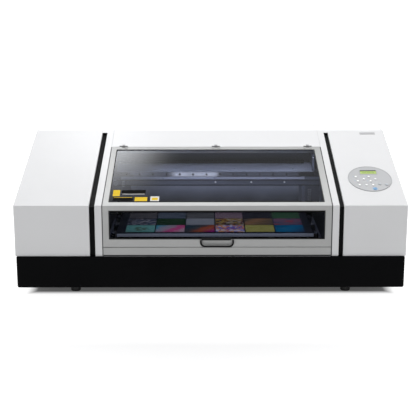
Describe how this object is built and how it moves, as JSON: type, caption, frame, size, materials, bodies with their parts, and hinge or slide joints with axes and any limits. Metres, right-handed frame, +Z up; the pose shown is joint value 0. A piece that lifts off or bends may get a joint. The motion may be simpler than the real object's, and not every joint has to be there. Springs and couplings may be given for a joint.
{
  "type": "flatbed uv printer",
  "caption": "Flatbed UV printer: white side boxes on a black base, a glazed lift-up front cover, a lifting and sliding table and a gantry print carriage.",
  "frame": {"origin": "bottom centre of the whole machine, on the surface that its feet stand on", "axes": "+X to the operator's right, +Y to the back of the machine, +Z up"},
  "size_m": [1.56, 0.955, 0.576],
  "materials": {
    "white_shell": "satin white moulded shell",
    "black_paint": "fine textured black powder coat",
    "foot_rubber": "matt black rubber",
    "dark_trim": "matt dark grey plastic",
    "cover_silver": "satin silver-grey paint on aluminium",
    "rear_grey": "light grey powder coat",
    "frame_steel": "satin blue-grey paint",
    "beam_aluminium": "anodised",
    "bright_steel": "ground steel",
    "motor_black": "matt black",
    "belt_rubber": "black toothed belt",
    "station_plastic": "matt dark grey plastic",
    "wiper_rubber": "dark red rubber blade",
    "panel_silver": "silver membrane panel",
    "lcd_green": "lit yellow-green display under a clear window",
    "key_white": "white key",
    "key_grey": "grey key",
    "key_blue": "power key with a blue ring",
    "zinc_sheet": "zinc plated sheet",
    "cartridge_plastic": "black cartridge",
    "handle_black": "satin black",
    "clear_pane": "tinted polished pane",
    "dark_pane": "tinted polished pane",
    "table_aluminium": "dark anodised",
    "carriage_grey": "matt dark grey",
    "head_metal": "plated print head",
    "lamp_black": "black anodised"
  },
  "bodies": {
    "root": {"base_pan": "black_paint", "feet": "foot_rubber", "left_cover": "white_shell", "right_cover": "white_shell", "trim_channels": "dark_trim", "inner_strips": "white_shell", "top_panel": "white_shell", "rear_panel": "rear_grey", "left_side_frame": "frame_steel", "right_side_frame": "frame_steel", "gantry_beam": "beam_aluminium", "x_rail": "bright_steel", "beam_covers": "beam_aluminium", "carriage_motor": "motor_black", "drive_belt": "belt_rubber", "maintenance_base": "station_plastic", "lower_front_strip": "cover_silver", "control_panel": "panel_silver", "lcd": "lcd_green", "electronics_box": "zinc_sheet", "ink_rack": "station_plastic", "ink_cartridges": "cartridge_plastic", "power_inlet": "motor_black", "hinge_leaves": "bright_steel", "y_rails": "bright_steel", "y_motor": "motor_black"},
    "front_cover": {"cover_frame": "cover_silver", "top_glass": "clear_pane", "front_glass": "dark_pane", "handle": "handle_black"},
    "carriage": {"carriage_housing": "carriage_grey", "carriage_blocks": "bright_steel", "print_heads": "head_metal", "uv_lamps": "lamp_black"},
    "drive_pulley_body": {"drive_pulley": "bright_steel"},
    "idler_pulley_body": {"idler_pulley": "bright_steel"},
    "cap_station": {"cap_tray": "station_plastic"},
    "wiper_body": {"wiper": "wiper_rubber"},
    "saddle_body": {"saddle": "frame_steel", "saddle_blocks": "bright_steel", "guide_rods": "bright_steel", "lift_motors": "motor_black"},
    "table_body": {"table_top": "table_aluminium"},
    "y_screw_body": {"y_screw": "bright_steel"},
    "left_lift_screw": {"lift_screw_left": "bright_steel"},
    "right_lift_screw": {"lift_screw_right": "bright_steel"},
    "switch_rocker": {"power_switch": "motor_black"},
    "fan": {"fan_rotor": "motor_black"},
    "key_1_cap": {"key_1": "key_white"},
    "key_2_cap": {"key_2": "key_white"},
    "key_3_cap": {"key_3": "key_white"},
    "key_4_cap": {"key_4": "key_white"},
    "key_5_cap": {"key_5": "key_white"},
    "key_6_cap": {"key_6": "key_white"},
    "key_7_cap": {"key_7": "key_white"},
    "key_8_cap": {"key_8": "key_white"},
    "key_9_cap": {"key_9": "key_white"},
    "menu_key_cap": {"menu_key": "key_grey"},
    "enter_key_cap": {"enter_key": "key_grey"},
    "power_key_cap": {"power_key": "key_blue"}
  },
  "joints": [
    {"name": "cover_hinge", "type": "hinge", "parent": "root", "child": "front_cover", "pos_m": [0.0255, 0.03775, 0.53261], "axis": [-1, 0, 0], "range_deg": [0, 68]},
    {"name": "carriage_slide", "type": "slide", "parent": "root", "child": "carriage", "axis": [1, 0, 0], "range_m": [-0.965, 0]},
    {"name": "drive_pulley_spin", "type": "hinge", "parent": "root", "child": "drive_pulley_body", "pos_m": [0.722, 0.1345, 0.349], "axis": [0, 1, 0], "range_deg": [-5046, 5046]},
    {"name": "idler_pulley_spin", "type": "hinge", "parent": "root", "child": "idler_pulley_body", "pos_m": [-0.425, 0.1345, 0.349], "axis": [0, 1, 0], "range_deg": [-5046, 5046]},
    {"name": "cap_lift", "type": "slide", "parent": "root", "child": "cap_station", "axis": [0, 0, 1], "range_m": [-0.01, 0]},
    {"name": "wiper_slide", "type": "slide", "parent": "root", "child": "wiper_body", "axis": [0, 1, 0], "range_m": [0, 0.04]},
    {"name": "table_travel", "type": "slide", "parent": "root", "child": "saddle_body", "axis": [0, 1, 0], "range_m": [0, 0.4]},
    {"name": "table_lift", "type": "slide", "parent": "saddle_body", "child": "table_body", "axis": [0, 0, 1], "range_m": [-0.1, 0]},
    {"name": "y_screw_spin", "type": "hinge", "parent": "root", "child": "y_screw_body", "pos_m": [0.017, -0.0575, 0.072], "axis": [0, 1, 0], "range_deg": [-20, 7220]},
    {"name": "left_lift_spin", "type": "hinge", "parent": "saddle_body", "child": "left_lift_screw", "pos_m": [-0.396, -0.1845, 0.17], "axis": [0, 0, 1], "range_deg": [-3620, 20]},
    {"name": "right_lift_spin", "type": "hinge", "parent": "saddle_body", "child": "right_lift_screw", "pos_m": [0.43, -0.1845, 0.17], "axis": [0, 0, 1], "range_deg": [-3620, 20]},
    {"name": "switch_rock", "type": "hinge", "parent": "root", "child": "switch_rocker", "pos_m": [-0.586, 0.4675, 0.235], "axis": [1, 0, 0], "range_deg": [-8, 8]},
    {"name": "fan_spin", "type": "hinge", "parent": "root", "child": "fan", "pos_m": [0.64, 0.4575, 0.4], "axis": [0, 1, 0], "continuous": true},
    {"name": "key_1_press", "type": "slide", "parent": "root", "child": "key_1_cap", "axis": [0, 0.2824, -0.9593], "range_m": [0, 0.0012], "stiffness_N_per_m": 500},
    {"name": "key_2_press", "type": "slide", "parent": "root", "child": "key_2_cap", "axis": [0, 0.2824, -0.9593], "range_m": [0, 0.0012], "stiffness_N_per_m": 500},
    {"name": "key_3_press", "type": "slide", "parent": "root", "child": "key_3_cap", "axis": [0, 0.2824, -0.9593], "range_m": [0, 0.0012], "stiffness_N_per_m": 500},
    {"name": "key_4_press", "type": "slide", "parent": "root", "child": "key_4_cap", "axis": [0, 0.2824, -0.9593], "range_m": [0, 0.0012], "stiffness_N_per_m": 500},
    {"name": "key_5_press", "type": "slide", "parent": "root", "child": "key_5_cap", "axis": [0, 0.2824, -0.9593], "range_m": [0, 0.0012], "stiffness_N_per_m": 500},
    {"name": "key_6_press", "type": "slide", "parent": "root", "child": "key_6_cap", "axis": [0, 0.2824, -0.9593], "range_m": [0, 0.0012], "stiffness_N_per_m": 500},
    {"name": "key_7_press", "type": "slide", "parent": "root", "child": "key_7_cap", "axis": [0, 0.2824, -0.9593], "range_m": [0, 0.0012], "stiffness_N_per_m": 500},
    {"name": "key_8_press", "type": "slide", "parent": "root", "child": "key_8_cap", "axis": [0, 0.2824, -0.9593], "range_m": [0, 0.0012], "stiffness_N_per_m": 500},
    {"name": "key_9_press", "type": "slide", "parent": "root", "child": "key_9_cap", "axis": [0, 0.2824, -0.9593], "range_m": [0, 0.0012], "stiffness_N_per_m": 500},
    {"name": "menu_key_press", "type": "slide", "parent": "root", "child": "menu_key_cap", "axis": [0, 0.2824, -0.9593], "range_m": [0, 0.0012], "stiffness_N_per_m": 500},
    {"name": "enter_key_press", "type": "slide", "parent": "root", "child": "enter_key_cap", "axis": [0, 0.2824, -0.9593], "range_m": [0, 0.0012], "stiffness_N_per_m": 500},
    {"name": "power_key_press", "type": "slide", "parent": "root", "child": "power_key_cap", "axis": [0, 0.2824, -0.9593], "range_m": [0, 0.0012], "stiffness_N_per_m": 500}
  ],
  "couplings": [
    {"joint": "drive_pulley_spin", "follows": "carriage_slide", "rad_per_m": 90.909},
    {"joint": "idler_pulley_spin", "follows": "carriage_slide", "rad_per_m": 90.909},
    {"joint": "y_screw_spin", "follows": "table_travel", "rad_per_m": 314.16},
    {"joint": "left_lift_spin", "follows": "table_lift", "rad_per_m": 628.32},
    {"joint": "right_lift_spin", "follows": "table_lift", "rad_per_m": 628.32}
  ]
}
